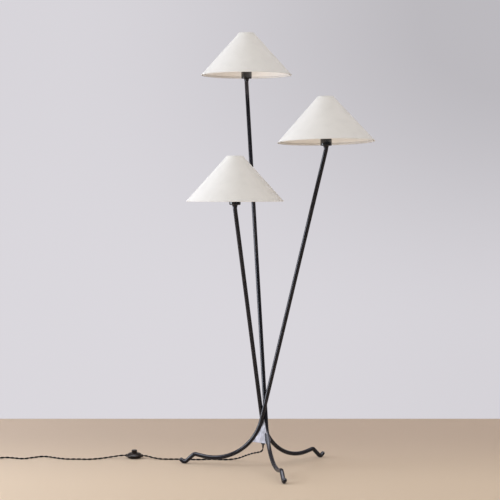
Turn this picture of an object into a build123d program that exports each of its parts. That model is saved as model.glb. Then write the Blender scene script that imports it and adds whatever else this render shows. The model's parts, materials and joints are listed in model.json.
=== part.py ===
"""Tree floor lamp: three bent steel stems that cross in a small hub, each carrying a shaded light.

Millimetres, +Z up, floor at z = 0. Every stem lies in an upright plane that passes beside the hub axis,
so the three cross like the poles of a tripod: the foot goes out one way and the pole leans the other way.
Everything is built about the hub axis and moved at the end, so that the origin is on the floor under the
middle of the lamp's own box (the cord and what is on it aren't counted).
"""
import os
from math import asin, cos, pi, radians, sin, sqrt, tan

from build123d import *

# ---------------------------------------------------------------- stems
STEM_OD = 15.5             # round tube
STEM_WALL = 1.3
STEM_OFFSET = 9.3          # sideways distance of each stem's plane from the hub axis
CROSSING_HEIGHT = 197.0    # where each pole's line passes the hub axis
LEG_BEND = 200.0           # centre-line radius of the big bend from pole to leg
RISE_ANGLE = 11.0          # the leg climbs again towards its crest
CREST_HEIGHT = 38.0        # centre line at the crest
CREST_BEND = 14.0
FALL_ANGLE = 42.0          # from the crest down to the foot
FOOT_BEND = 12.0
FOOT_REACH = 308.0         # hub axis to the foot's contact
FOOT_FLAT = 0.4            # depth dressed flat where the foot bears on the floor
TIP_ANGLE = 38.0           # the end turns up again
TIP_LENGTH = 7.0
NECK_BEND = 30.0           # the pole turns upright under its socket

# ---------------------------------------------------------------- lights
# name: azimuth of the leg, lean of the pole, height of the shade's lower rim, shade tilt and its azimuth
LIGHTS = {
    "upper": (-78.5, 16.0, 1481.0, 0.0, 0.0),
    "middle": (162.5, 13.8, 1206.0, 2.4, 117.0),
    "lower": (42.0, 9.7, 991.0, 0.0, 0.0),
}
FIT = 0.15                 # radial clearance of pieces that slide together
SEAT = 0.2                 # gap under a piece that rests on another
CUP_OD = 42.0
CUP_WALL = 1.0
CUP_HEIGHT = 42.0
CUP_CORNER = 4.0
CUP_BELOW_RIM = 14.0       # how far the cup hangs out of the shade
FERRULE_HEIGHT = 9.0
FERRULE_TOP_OD = 22.0
FERRULE_LIP = 0.6          # wall of the ferrule at its lower edge
FERRULE_HOLLOW = 0.7       # how far its flared side is drawn in
SPIGOT = 6.0               # stem inside the ferrule
NIPPLE_OD = 10.0           # threaded tube of the ferrule through the cup's floor
NIPPLE_BORE = 6.0
NIPPLE_HEIGHT = 4.0
HOLDER_ABOVE_CUP = 13.0
HOLDER_FLOOR = 14.0        # solid base of the lampholder
SHELL_OD = 28.0
SHELL_WALL = 0.5
SHELL_HEIGHT = 28.0
SHELL_LIP = 2.0
CAP_OD = 26.0              # screw cap of the bulb
CAP_HEIGHT = 25.0
CAP_TIP_OD = 10.0
CAP_TIP = 3.0
BULB_OD = 60.0
BULB_HEIGHT = 83.0         # glass above its cap
BULB_NECK_OD = 27.0
BULB_WALL = 1.0
BULB_CONE = 25.0           # half angle of the glass below its widest part
CONTACT_WIDTH = 6.0
CONTACT_LENGTH = 18.0
CONTACT_THICK = 0.6
FITTER_RING_OD = 50.0
FITTER_THICK = 1.5
CLAMP_OD = 46.0
CLAMP_FLANGE_OD = 52.0
CLAMP_HEIGHT = 6.5
CLAMP_FLANGE = 2.0
ARM_WIRE = 3.0
ARM_COUNT = 3
ARM_REACH = 42.0           # the arms bow out round the bulb
ARM_FOOT_BEND = 8.0
ARM_SHOULDER_BEND = 30.0
ARM_SHOULDER = 118.0       # height above the rim where the arms turn in

# ---------------------------------------------------------------- shades
SHADE_RIM_OD = 356.0
SHADE_TOP_OD = 58.0
SHADE_HEIGHT = 165.0
SHADE_WALL = 1.2
TRIM_THICK = 0.5           # tape folded over the upper edge
TRIM_WIDTH = 8.0
HEM_FOLD = 0.7             # the lower edge is folded in round the rim wire
RIM_WIRE = 3.0

# ---------------------------------------------------------------- hub
HUB_FLOOR_HEIGHT = 96.5    # underside of the hub
HUB_TOP_HEIGHT = 189.0     # apex of the plates
HUB_PLATE = 1.5
HUB_FLOOR_THICK = 2.0
WELD_GAP = 0.2
BUSHING_OD = 18.0
BUSHING_BELOW = 10.5
BUSHING_ABOVE = 6.0
BUSHING_SHANK_OD = 12.0
BUSHING_NOSE_OD = 11.0
BUSHING_COLLAR = 4.5
BUSHING_NUT = 3.5
BUSHING_NUT_AF = 16.0
WIRE_HOLE = 6.0
WIRE_HOLE_ABOVE = 39.5     # from the hub's underside
WIRE_HOLE_TURN = 24.0      # the hole is turned out of the stem's plane, to face the hub axis
LEAD_OD = 4.0
LEAD_BEND = 6.0
LEAD_DROP = 15.0           # from the stem's centre line to where the lead turns down
CONNECTOR_OD = 32.0
CONNECTOR_HEIGHT = 12.0
CONNECTOR_ABOVE = 11.5     # from the hub's underside, over the bushing's shank
CONNECTOR_GROOVE = 1.0

# ---------------------------------------------------------------- cord, switch and plug
CORD_OD = 6.5
SWITCH_AT = (-494.0, 193.0)
SWITCH_TURN = 174.0        # direction in which the cord passes through
SWITCH_OD = 61.0
SWITCH_FOOT_OD = 34.0
SWITCH_EQUATOR = 10.5
SWITCH_TOP = 22.0
SWITCH_TOP_OD = 28.0
SWITCH_WALL = 2.0
SWITCH_PORT_OD = 10.5
SWITCH_PORT_LENGTH = 3.0
SWITCH_PORT_HOLE = 4.4
BUTTON_OD = 21.0
BUTTON_TOP = 33.0
BUTTON_TRAVEL = 3.0
BUTTON_FLANGE_OD = 25.0
BUTTON_FLANGE = 2.0
BUTTON_CLEARANCE = 0.4
BUTTON_STEM_OD = 7.0
BUTTON_ROUND = 2.5
SPRING_OD = 13.0
SPRING_WIRE = 1.0
SPRING_TURNS = 4
BOSS_OD = 14.0
BOSS_BORE = 10.4
BOSS_HEIGHT = 3.2
BLADE_CONTACT_WIDTH = 6.0
BLADE_CONTACT_REACH = 14.6
BLADE_CONTACT_THICK = 0.8
SCREW_CIRCLE = 23.0
SCREW_OD = 3.0
SCREW_HEAD_OD = 5.5
SCREW_HEAD = 1.8
COIL_AT = (-1082.0, 124.0)
COIL_OUTER = 42.6          # centre-line radius where the coil starts
COIL_GAP = 0.5             # gap between turns
COIL_HALF_TURNS = (5, 6)   # half turns of the lower and the upper layer, besides the climb
COIL_TUCK = 1.3            # the climb between the layers runs this much further in
TIE_THICK = 1.0
TIE_WIDTH = 9.0
TIE_SLACK = 0.6
PLUG_FROM_COIL = (-62.4, -22.0)   # the cord's end in the plug, from the coil's middle
PLUG_LENGTH = 30.0
PLUG_WIDTH = 24.0
PLUG_THICK = 14.0
PLUG_TAIL = 10.0
PLUG_ROUND = 3.0
BLADE_WIDTH = 6.3
BLADE_THICK = 1.5
BLADE_LENGTH = 17.5
BLADE_SPACING = 12.7
BLADE_HOLE = 3.0
BLADE_ROOT = 6.0           # length of each blade inside the plug

STEM_R = STEM_OD / 2
STEM_BORE_R = STEM_R - STEM_WALL
CORD_R = CORD_OD / 2
CUP_R = CUP_OD / 2
HOLDER_R = CUP_R - CUP_WALL - FIT
CUP_TOP = CUP_HEIGHT - CUP_BELOW_RIM
HOLDER_BASE = CUP_WALL - CUP_BELOW_RIM + SEAT
HOLDER_TOP = CUP_TOP + HOLDER_ABOVE_CUP
HOLDER_RECESS = NIPPLE_HEIGHT + SEAT - CUP_BELOW_RIM
SHELL_BASE = HOLDER_BASE + HOLDER_FLOOR
CAP_BASE = SHELL_BASE + CAP_TIP + 2.5
CAP_TOP = CAP_BASE + CAP_HEIGHT
BULB_TOP = CAP_TOP + BULB_HEIGHT
BUSHING_LOW = HUB_FLOOR_HEIGHT - BUSHING_BELOW
CONNECTOR_BASE = HUB_FLOOR_HEIGHT + CONNECTOR_ABOVE
WIRE_HOLE_HEIGHT = HUB_FLOOR_HEIGHT + WIRE_HOLE_ABOVE
COIL_LOW = CORD_R + TIE_THICK + COIL_GAP
COIL_PITCH = CORD_OD + COIL_GAP
SHADE_SLOPE = (SHADE_RIM_OD - SHADE_TOP_OD) / 2 / SHADE_HEIGHT
SHADE_WALL_ACROSS = SHADE_WALL * sqrt(1 + SHADE_SLOPE**2)
UP = Vector(0, 0, 1)


def polar(azimuth, radius, z=0.0):
    """A point at an azimuth and radius about the hub axis."""
    return Vector(radius * cos(radians(azimuth)), radius * sin(radians(azimuth)), z)


def round_bar(path, radius, bore=0.0):
    """A round section swept along a path, hollow if it has a bore."""
    section = Circle(radius) - Circle(bore) if bore else Circle(radius)
    return sweep(Plane(origin=path @ 0, z_dir=path % 0) * section, path)


def revolved(*profile):
    """A solid of revolution about Z from (radius, z) points."""
    return revolve(Plane.XZ * make_face(Polyline(*profile, close=True)), Axis.Z)


def together(*pieces):
    """Separate solids of one node."""
    return Compound([solid for piece in pieces for solid in piece.solids()])


# ================================================================ stems
def stem_corners(lean, ferrule_z):
    """Corners of a stem's centre line in its own plane, as (reach, z), from the tip to the socket."""
    rise, fall, tip = radians(RISE_ANGLE), radians(FALL_ANGLE), radians(TIP_ANGLE)
    foot_half, foot_middle = (fall + tip) / 2, (tip - fall) / 2
    crest_half, crest_middle = (rise + fall) / 2, (rise - fall) / 2
    foot_centre_z = STEM_R - FOOT_FLAT + FOOT_BEND
    foot_throw = FOOT_BEND / cos(foot_half)
    foot = Vector(FOOT_REACH + foot_throw * sin(foot_middle), foot_centre_z - foot_throw * cos(foot_middle))
    end = foot + Vector(cos(tip), sin(tip)) * (FOOT_BEND * tan(foot_half) + TIP_LENGTH)
    crest_z = CREST_HEIGHT - CREST_BEND + CREST_BEND / cos(crest_half) * cos(crest_middle)
    crest = foot + Vector(-cos(fall), sin(fall)) * ((crest_z - foot.Y) / sin(fall))
    # the leg's line through the crest meets the pole's line through the crossing
    pole_run, leg_slope = tan(radians(lean)), tan(rise)
    knee_z = (crest.Y + (CROSSING_HEIGHT * pole_run - crest.X) * leg_slope) / (1 + pole_run * leg_slope)
    knee = Vector((CROSSING_HEIGHT - knee_z) * pole_run, knee_z)
    neck_z = ferrule_z - SEAT - NECK_BEND * tan(radians(lean) / 2)
    neck = Vector((CROSSING_HEIGHT - neck_z) * pole_run, neck_z)
    return [end, foot, crest, knee, neck, Vector(neck.X, ferrule_z + SPIGOT)]


def stem_plane(azimuth):
    """The stem's upright plane: local X outwards along the leg, local Y up."""
    out = polar(azimuth, 1)
    return Plane(origin=polar(azimuth + 90, STEM_OFFSET), x_dir=out, z_dir=out.cross(UP))


def stem_path(azimuth, lean, ferrule_z):
    """The stem's centre line: straights joined by the foot, crest, leg and neck bends."""
    corners = [stem_plane(azimuth).from_local_coords(p) for p in stem_corners(lean, ferrule_z)]
    return FilletPolyline(*corners, radius=[FOOT_BEND, CREST_BEND, LEG_BEND, NECK_BEND])


def leg_bend_centre(lean):
    """Centre of the leg's big bend in the stem's plane."""
    knee = stem_corners(lean, 2 * CROSSING_HEIGHT)[3]
    half = radians(90 - lean + RISE_ANGLE) / 2
    middle = radians(RISE_ANGLE - 90 + lean) / 2
    throw = LEG_BEND / cos(half)
    return Vector(knee.X - throw * sin(middle), knee.Y + throw * cos(middle))


def bend_direction(lean, z):
    """From the centre of the leg's big bend towards its centre line at a height."""
    drop = (leg_bend_centre(lean).Y - z) / LEG_BEND
    return Vector(-sqrt(1 - drop * drop), -drop)


def on_leg(azimuth, lean, z):
    """The leg's centre line at a height."""
    return stem_plane(azimuth).from_local_coords(leg_bend_centre(lean) + bend_direction(lean, z) * LEG_BEND)


def lead_exit(lean, distance):
    """A point on the wire hole's axis in the stem's own coordinates, measured from the centre line."""
    turn, inwards = radians(WIRE_HOLE_TURN), bend_direction(lean, WIRE_HOLE_HEIGHT)
    return leg_bend_centre(lean) + inwards * (LEG_BEND + distance * cos(turn)) + UP * (distance * sin(turn))


def make_stem(azimuth, lean, ferrule_z):
    """Tube with a domed end, a dressed flat under the foot and a wire hole towards the hub's inside."""
    path = stem_path(azimuth, lean, ferrule_z)
    tube = round_bar(path, STEM_R, STEM_BORE_R)
    dome = Sphere(STEM_R) & Pos(0, 0, STEM_R) * Box(STEM_OD, STEM_OD, STEM_OD)
    tube += Plane(origin=path @ 0, z_dir=(path % 0) * -1) * dome
    tube -= Pos(polar(azimuth, FOOT_REACH, -STEM_OD / 2)) * Box(4 * STEM_OD, 4 * STEM_OD, STEM_OD)
    middle, outside = [stem_plane(azimuth).from_local_coords(lead_exit(lean, d)) for d in (0, STEM_R)]
    return tube - Plane(origin=outside, z_dir=outside - middle) * Cylinder(WIRE_HOLE / 2, STEM_OD)


def stem_bars():
    """The lower stems as solid bars with the weld gap round them, to cut the hub's plates with."""
    bars = [round_bar(stem_path(azimuth, lean, 2 * CROSSING_HEIGHT), STEM_R + WELD_GAP)
            for azimuth, lean, *_ in LIGHTS.values()]
    return bars[0] + bars[1] + bars[2]


# ================================================================ hub
def make_hub_plate(first, second, bars):
    """A flat triangle between two stems, from the hub's floor to the crossing."""
    low_first = on_leg(*LIGHTS[first][:2], HUB_FLOOR_HEIGHT)
    low_second = on_leg(*LIGHTS[second][:2], HUB_FLOOR_HEIGHT)
    apex = (on_leg(*LIGHTS[first][:2], HUB_TOP_HEIGHT) + on_leg(*LIGHTS[second][:2], HUB_TOP_HEIGHT)) * 0.5
    face = make_face(Polyline(low_first, low_second, apex, close=True))
    plate = extrude(face, amount=HUB_PLATE / 2, both=True) - bars
    below = Pos(0, 0, HUB_FLOOR_HEIGHT - HUB_PLATE) * Box(FOOT_REACH, FOOT_REACH, 2 * HUB_PLATE)
    return (plate - below).solids().sort_by(SortBy.VOLUME)[-1]


def make_hub_floor(bars):
    """The triangular floor of the hub, inside the three plates, with the bushing's hole."""
    corners = [on_leg(azimuth, lean, HUB_FLOOR_HEIGHT) for azimuth, lean, *_ in LIGHTS.values()]
    outline = make_face(Polyline(*[(c.X, c.Y) for c in corners], close=True))
    inside = offset(outline, amount=-(HUB_PLATE + WELD_GAP), kind=Kind.INTERSECTION)
    floor = Pos(0, 0, HUB_FLOOR_HEIGHT) * extrude(inside, HUB_FLOOR_THICK) - bars
    floor = floor.solids().sort_by(SortBy.VOLUME)[-1]
    return floor - Pos(0, 0, HUB_FLOOR_HEIGHT) * Cylinder(BUSHING_SHANK_OD / 2 + FIT, 4 * HUB_FLOOR_THICK)


def make_cord_bushing():
    """Strain relief: a tapered collar under the hub's floor, its shank and a nut above it."""
    bore, top = CORD_R + FIT, HUB_FLOOR_HEIGHT + HUB_FLOOR_THICK
    shank, collar = BUSHING_SHANK_OD / 2, BUSHING_OD / 2
    body = revolved(
        (bore, BUSHING_LOW), (BUSHING_NOSE_OD / 2, BUSHING_LOW), (collar, HUB_FLOOR_HEIGHT - BUSHING_COLLAR - SEAT),
        (collar, HUB_FLOOR_HEIGHT - SEAT), (shank, HUB_FLOOR_HEIGHT - SEAT), (shank, top + BUSHING_ABOVE),
        (bore, top + BUSHING_ABOVE),
    )
    nut = RegularPolygon(BUSHING_NUT_AF / 2, 6, major_radius=False) - Circle(shank)
    return body + Pos(0, 0, top + SEAT) * extrude(nut, BUSHING_NUT)


def make_wire_connector():
    """Round terminal block that joins the three leads to the cord."""
    radius, low, high = CONNECTOR_OD / 2, CONNECTOR_BASE, CONNECTOR_BASE + CONNECTOR_HEIGHT
    middle, groove = (low + high) / 2, radius - CONNECTOR_GROOVE
    return revolved(
        (0, low), (groove, low), (radius, low + CONNECTOR_GROOVE), (radius, middle - CONNECTOR_GROOVE),
        (groove, middle), (radius, middle + CONNECTOR_GROOVE), (radius, high - CONNECTOR_GROOVE), (groove, high),
        (0, high),
    )


def make_lead(azimuth, lean, recess_z):
    """The lead inside a stem: down the pole, out of the wire hole and down onto the connector."""
    neck = stem_corners(lean, recess_z - HOLDER_RECESS - CUP_BELOW_RIM - FERRULE_HEIGHT)[4]
    inwards = bend_direction(lean, WIRE_HOLE_HEIGHT)
    hole = leg_bend_centre(lean) + inwards * LEG_BEND
    half_turn = (asin(-inwards.Y) - radians(lean)) / 2
    before_hole = LEG_BEND * tan(half_turn)
    knee = hole - Vector(-inwards.Y, inwards.X) * before_hole
    bend = (before_hole - 1.5 * LEAD_BEND) / tan(half_turn)
    over = lead_exit(lean, LEAD_DROP)
    top, end = Vector(neck.X, recess_z), Vector(over.X, CONNECTOR_BASE + CONNECTOR_HEIGHT, over.Z)
    corners = [stem_plane(azimuth).from_local_coords(p) for p in (top, neck, knee, hole, over, end)]
    return round_bar(FilletPolyline(*corners, radius=[NECK_BEND, bend, LEAD_BEND, LEAD_BEND]), LEAD_OD / 2)


# ================================================================ lights, local z = 0 at the shade's rim
def make_ferrule():
    """Flared ferrule over the stem's end, with the threaded nipple that holds the cup."""
    low, high = -CUP_BELOW_RIM - FERRULE_HEIGHT, -CUP_BELOW_RIM - SEAT
    bore, nipple = STEM_R + FIT, NIPPLE_OD / 2
    foot, brim = Vector(bore + FERRULE_LIP, low), Vector(FERRULE_TOP_OD / 2, high)
    flare = ThreePointArc(foot, (foot + brim) * 0.5 - Vector(FERRULE_HOLLOW, 0), brim)
    rest = Polyline(
        brim, (nipple, high), (nipple, high + NIPPLE_HEIGHT), (NIPPLE_BORE / 2, high + NIPPLE_HEIGHT),
        (NIPPLE_BORE / 2, low + SPIGOT + SEAT), (bore, low + SPIGOT + SEAT), (bore, low), foot,
    )
    return revolve(Plane.XZ * make_face(flare + rest), Axis.Z)


def make_cup():
    """Pressed socket cup with a rounded lower corner and a hole for the nipple."""
    low, hole = -CUP_BELOW_RIM, NIPPLE_OD / 2 + FIT
    can = Pos(0, 0, low) * Cylinder(CUP_R, CUP_HEIGHT, align=(Align.CENTER, Align.CENTER, Align.MIN))
    can = fillet(can.edges().group_by(Axis.Z)[0], CUP_CORNER)
    hollow = Pos(0, 0, low + CUP_WALL) * Cylinder(
        CUP_R - CUP_WALL, CUP_HEIGHT, align=(Align.CENTER, Align.CENTER, Align.MIN)
    )
    hollow = fillet(hollow.edges().group_by(Axis.Z)[0], CUP_CORNER - CUP_WALL)
    return can - hollow - Pos(0, 0, low) * Cylinder(hole, 4 * CUP_WALL)


def make_holder():
    """Lampholder body: solid base with a wire hole, and a sleeve round the screw shell."""
    bore, hole, corner = SHELL_OD / 2 + FIT, NIPPLE_OD / 2 + FIT, CUP_CORNER
    return revolved(
        (hole, HOLDER_BASE), (HOLDER_R - corner, HOLDER_BASE), (HOLDER_R, HOLDER_BASE + corner),
        (HOLDER_R, HOLDER_TOP - 1), (HOLDER_R - 1, HOLDER_TOP), (bore, HOLDER_TOP), (bore, SHELL_BASE),
        (0, SHELL_BASE), (0, HOLDER_RECESS), (hole, HOLDER_RECESS),
    )


def make_screw_shell():
    """Brass screw shell with a turned-in lower edge."""
    outer, inner = SHELL_OD / 2, SHELL_OD / 2 - SHELL_WALL
    low, high = SHELL_BASE + SEAT / 2, SHELL_BASE + SHELL_HEIGHT
    return revolved(
        (inner - SHELL_LIP, low), (outer, low), (outer, high), (inner, high), (inner, low + SHELL_WALL),
        (inner - SHELL_LIP, low + SHELL_WALL),
    )


def make_centre_contact():
    """Springy brass strip on the holder's floor, arched up to the bulb's tip."""
    half, low = CONTACT_LENGTH / 2, SHELL_BASE + SEAT / 2
    crown = CAP_BASE - CAP_TIP - SEAT
    outer = ThreePointArc((-half, low), (0, crown), (half, low))
    inner = ThreePointArc((half - 2 * CONTACT_THICK, low), (0, crown - CONTACT_THICK), (2 * CONTACT_THICK - half, low))
    face = make_face(outer + Line(outer @ 1, inner @ 0) + inner + Line(inner @ 1, outer @ 0))
    return extrude(Plane.XZ * face, CONTACT_WIDTH / 2, both=True)


def make_bulb_cap():
    """Screw cap of the bulb, with its tip."""
    return revolved(
        (0, CAP_BASE - CAP_TIP), (CAP_TIP_OD / 2, CAP_BASE - CAP_TIP), (CAP_OD / 2 - CAP_TIP, CAP_BASE),
        (CAP_OD / 2, CAP_BASE + CAP_TIP), (CAP_OD / 2, CAP_TOP), (0, CAP_TOP),
    )


def bulb_face(inset):
    """Half outline of the glass: neck, cone and the round top that it is tangent to."""
    radius, cone = BULB_OD / 2, radians(BULB_CONE)
    centre_z = BULB_TOP - radius
    radius -= inset
    side = (radius * cos(cone), centre_z - radius * sin(cone))
    neck_r = BULB_NECK_OD / 2 - inset
    neck = (neck_r, side[1] - (side[0] - neck_r) / tan(cone))
    foot_z = CAP_TOP + SEAT / 2 - (BULB_WALL if inset else 0)
    top = ThreePointArc(side, (radius * cos(cone), centre_z + radius * sin(cone)), (0, centre_z + radius))
    return make_face(Polyline((0, foot_z), (neck_r, foot_z), neck, side) + top + Line(top @ 1, (0, foot_z)))


def make_bulb_glass():
    """Hollow opal glass of the bulb, open at its neck."""
    return revolve(Plane.XZ * bulb_face(0), Axis.Z) - revolve(Plane.XZ * bulb_face(BULB_WALL), Axis.Z)


def fitter_height(tilt):
    """Underside of the fitter's ring: a tilted ring rests on the cup by one edge."""
    return CUP_TOP + SEAT + FITTER_RING_OD / 2 * sin(radians(tilt))


def make_fitter(tilt):
    """Shade fitter: a flat ring on the cup, arms bowed round the bulb, and the shade's top ring."""
    low, bore = fitter_height(tilt), HOLDER_R + 2 * FIT
    ring = revolved((bore, low), (FITTER_RING_OD / 2, low), (FITTER_RING_OD / 2, low + FITTER_THICK),
                    (bore, low + FITTER_THICK))
    wire_r, wire_z = ARM_WIRE / 2, low + FITTER_THICK - ARM_WIRE / 2
    across = (SHADE_WALL + SEAT + wire_r) * SHADE_WALL_ACROSS / SHADE_WALL
    top_r = SHADE_TOP_OD / 2 + wire_r * SHADE_SLOPE - across
    top_z = SHADE_HEIGHT - wire_r
    path = FilletPolyline(
        (FITTER_RING_OD / 2 - 1, 0, wire_z), (ARM_REACH, 0, wire_z), (ARM_REACH, 0, ARM_SHOULDER), (top_r, 0, top_z),
        radius=[ARM_FOOT_BEND, ARM_SHOULDER_BEND],
    )
    fitter = ring + Pos(0, 0, top_z) * Torus(top_r, wire_r)
    for number in range(ARM_COUNT):
        fitter += Rot(0, 0, 90 + 360 / ARM_COUNT * number) * round_bar(path, wire_r)
    return fitter


def make_clamp_ring(tilt):
    """Threaded ring that holds the fitter down on the cup."""
    low = fitter_height(tilt) + FITTER_THICK + FITTER_RING_OD / 2 * sin(radians(tilt)) + SEAT
    bore = HOLDER_R + FIT
    return revolved(
        (bore, low), (CLAMP_FLANGE_OD / 2, low), (CLAMP_FLANGE_OD / 2, low + CLAMP_FLANGE),
        (CLAMP_OD / 2, low + CLAMP_FLANGE), (CLAMP_OD / 2, low + CLAMP_HEIGHT), (bore, low + CLAMP_HEIGHT),
    )


def make_shade():
    """Conical shade: thin wall, tape over the upper edge, lower edge folded in round the rim wire."""
    rim, top, across = SHADE_RIM_OD / 2, SHADE_TOP_OD / 2, SHADE_WALL_ACROSS
    trim = TRIM_THICK * sqrt(1 + SHADE_SLOPE**2)
    trim_z = SHADE_HEIGHT - TRIM_WIDTH / sqrt(1 + SHADE_SLOPE**2)
    trim_r = top + (SHADE_HEIGHT - trim_z) * SHADE_SLOPE
    pocket = RIM_WIRE + 2 * FIT
    fold_r = rim - across - (pocket + HEM_FOLD) * (1 + SHADE_SLOPE)
    wall_r = rim - across - SHADE_SLOPE * HEM_FOLD
    return revolved(
        (fold_r, 0), (rim, 0), (trim_r, trim_z), (trim_r + trim, trim_z), (top + trim, SHADE_HEIGHT),
        (top - across, SHADE_HEIGHT), (wall_r, HEM_FOLD), (fold_r + HEM_FOLD, HEM_FOLD),
        (fold_r + HEM_FOLD, HEM_FOLD + pocket), (fold_r, HEM_FOLD + pocket),
    )


def make_rim_wire():
    """Wire ring in the fold of the shade's lower edge."""
    rim, pocket = SHADE_RIM_OD / 2, RIM_WIRE + 2 * FIT
    fold_r = rim - SHADE_WALL_ACROSS - (pocket + HEM_FOLD) * (1 + SHADE_SLOPE)
    radius = fold_r + HEM_FOLD + FIT + RIM_WIRE / 2
    return Pos(0, 0, HEM_FOLD + FIT + RIM_WIRE / 2) * Torus(radius, RIM_WIRE / 2)


# ================================================================ foot switch, local z = 0 on the floor
def switch_port(half):
    """The half of a cord port that belongs to one shell, on both sides."""
    reach = SWITCH_OD / 2 + SWITCH_PORT_LENGTH
    tube = Rot(0, 90, 0) * Cylinder(SWITCH_PORT_OD / 2, 2 * reach)
    inside = Cylinder(SWITCH_OD / 2 - SWITCH_WALL, SWITCH_OD)
    keep = Pos(0, 0, half * SWITCH_OD / 2) * Box(4 * reach, SWITCH_OD, SWITCH_OD - SEAT)
    return Pos(0, 0, SWITCH_EQUATOR) * (tube - inside & keep)


def port_hole():
    """The hole for the cord's two strands, right through both ports."""
    return Pos(0, 0, SWITCH_EQUATOR) * (Rot(0, 90, 0) * Cylinder(SWITCH_PORT_HOLE / 2, 2 * SWITCH_OD))


def make_switch_base():
    """Lower shell of the foot switch: flat foot, bowl, spring boss and screw holes."""
    foot, rim, wall = SWITCH_FOOT_OD / 2, SWITCH_OD / 2, SWITCH_WALL
    equator = SWITCH_EQUATOR - SEAT / 2
    outer = ThreePointArc((foot, 0), ((foot + rim) / 2 + 2.2, equator * 0.38), (rim, equator))
    inner = ThreePointArc((rim - wall, equator), ((foot + rim) / 2, equator * 0.38 + wall), (foot - wall, wall))
    outline = outer + Line(outer @ 1, inner @ 0) + inner + Polyline(inner @ 1, (0, wall), (0, 0), (foot, 0))
    shell = revolve(Plane.XZ * make_face(outline), Axis.Z)
    boss = Circle(BOSS_OD / 2) - Circle(BOSS_BORE / 2) - Rectangle(BLADE_CONTACT_WIDTH + 1, BOSS_OD)
    shell += Pos(0, 0, wall) * extrude(boss, BOSS_HEIGHT)
    shell += switch_port(-1)
    shell -= port_hole()
    for side in (-1, 1):
        shell -= Pos(0, side * SCREW_CIRCLE / 2, wall) * Cylinder(SCREW_OD / 2 + FIT, wall)
    return shell


def make_switch_cover():
    """Upper shell of the foot switch, domed, with the button's hole."""
    rim, wall, crown = SWITCH_OD / 2, SWITCH_WALL, SWITCH_TOP_OD / 2
    equator, hole = SWITCH_EQUATOR + SEAT / 2, BUTTON_OD / 2 + BUTTON_CLEARANCE
    shoulder = ((rim + crown) / 2 + 3.2, equator + 0.62 * (SWITCH_TOP - equator))
    outer = ThreePointArc((rim, equator), shoulder, (crown, SWITCH_TOP))
    inner = ThreePointArc(
        (crown, SWITCH_TOP - wall), (shoulder[0] - wall * 0.7, shoulder[1] - wall * 0.7), (rim - wall, equator)
    )
    edge = Polyline(outer @ 1, (hole, SWITCH_TOP), (hole, SWITCH_TOP - wall), inner @ 0)
    shell = revolve(Plane.XZ * make_face(outer + edge + inner + Line(inner @ 1, outer @ 0)), Axis.Z)
    return shell + switch_port(1) - port_hole()


def make_switch_button():
    """Push button: round cap with a softened edge, a flange under the cover and a stem to the contacts."""
    flange_top = SWITCH_TOP - SWITCH_WALL - SEAT
    flange_low = flange_top - BUTTON_FLANGE
    stem_low = SWITCH_WALL + BLADE_CONTACT_THICK + 2 + BUTTON_TRAVEL + SEAT
    cap, stem = BUTTON_OD / 2, BUTTON_STEM_OD / 2
    body = revolved(
        (0, stem_low), (stem, stem_low), (stem, flange_low), (BUTTON_FLANGE_OD / 2, flange_low),
        (BUTTON_FLANGE_OD / 2, flange_top), (cap, flange_top), (cap, BUTTON_TOP), (0, BUTTON_TOP),
    )
    return fillet(body.edges().group_by(Axis.Z)[-1], BUTTON_ROUND)


def half_turns(points):
    """A path of half circles that bulge to alternate sides, through points of the local XZ plane."""
    arcs = []
    for number, (start, end) in enumerate(zip(points, points[1:])):
        middle = (start + end) * 0.5
        bulge = Vector(0, (end - start).length / 2 * (1 if number % 2 == 0 else -1), 0)
        arcs.append(ThreePointArc(start, middle + bulge, end))
    return Wire(arcs)


def make_switch_spring():
    """Return spring between the base's boss and the button's flange."""
    radius, wire = (SPRING_OD - SPRING_WIRE) / 2, SPRING_WIRE / 2
    low = SWITCH_WALL + BOSS_HEIGHT + wire + SEAT / 2
    high = SWITCH_TOP - SWITCH_WALL - SEAT - BUTTON_FLANGE - wire - SEAT / 2
    steps = 2 * SPRING_TURNS
    points = [Vector(radius * (-1) ** k, 0, low + (high - low) * k / steps) for k in range(steps + 1)]
    return round_bar(half_turns(points), wire)


def make_switch_contacts():
    """Two brass contact blades on the base's floor that meet under the button."""
    thick, low = BLADE_CONTACT_THICK, SWITCH_WALL + SEAT / 2
    outline = Polyline(
        (BLADE_CONTACT_REACH, low), (5.5, low), (3.5, low + 2), (0.6, low + 2), (0.6, low + 2 + thick),
        (3.9, low + 2 + thick), (5.9, low + thick), (BLADE_CONTACT_REACH, low + thick), close=True,
    )
    blade = extrude(Plane.YZ * make_face(outline), BLADE_CONTACT_WIDTH / 2, both=True)
    blade -= Pos(0, SCREW_CIRCLE / 2, low) * Cylinder(SCREW_OD / 2 + FIT, 4 * thick)
    return together(blade, blade.mirror(Plane.XZ))


def make_switch_screws():
    """The two screws that hold the contact blades."""
    seat = SWITCH_WALL + BLADE_CONTACT_THICK + SEAT
    screw = revolved((0, SWITCH_WALL / 2 + SEAT), (SCREW_OD / 2, SWITCH_WALL / 2 + SEAT), (SCREW_OD / 2, seat),
                     (SCREW_HEAD_OD / 2, seat), (SCREW_HEAD_OD / 2, seat + SCREW_HEAD), (0, seat + SCREW_HEAD))
    screw -= Pos(0, 0, seat + SCREW_HEAD) * Box(0.8, SCREW_HEAD_OD, SCREW_HEAD)
    return together(*[Pos(0, side * SCREW_CIRCLE / 2, 0) * screw for side in (-1, 1)])


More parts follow.
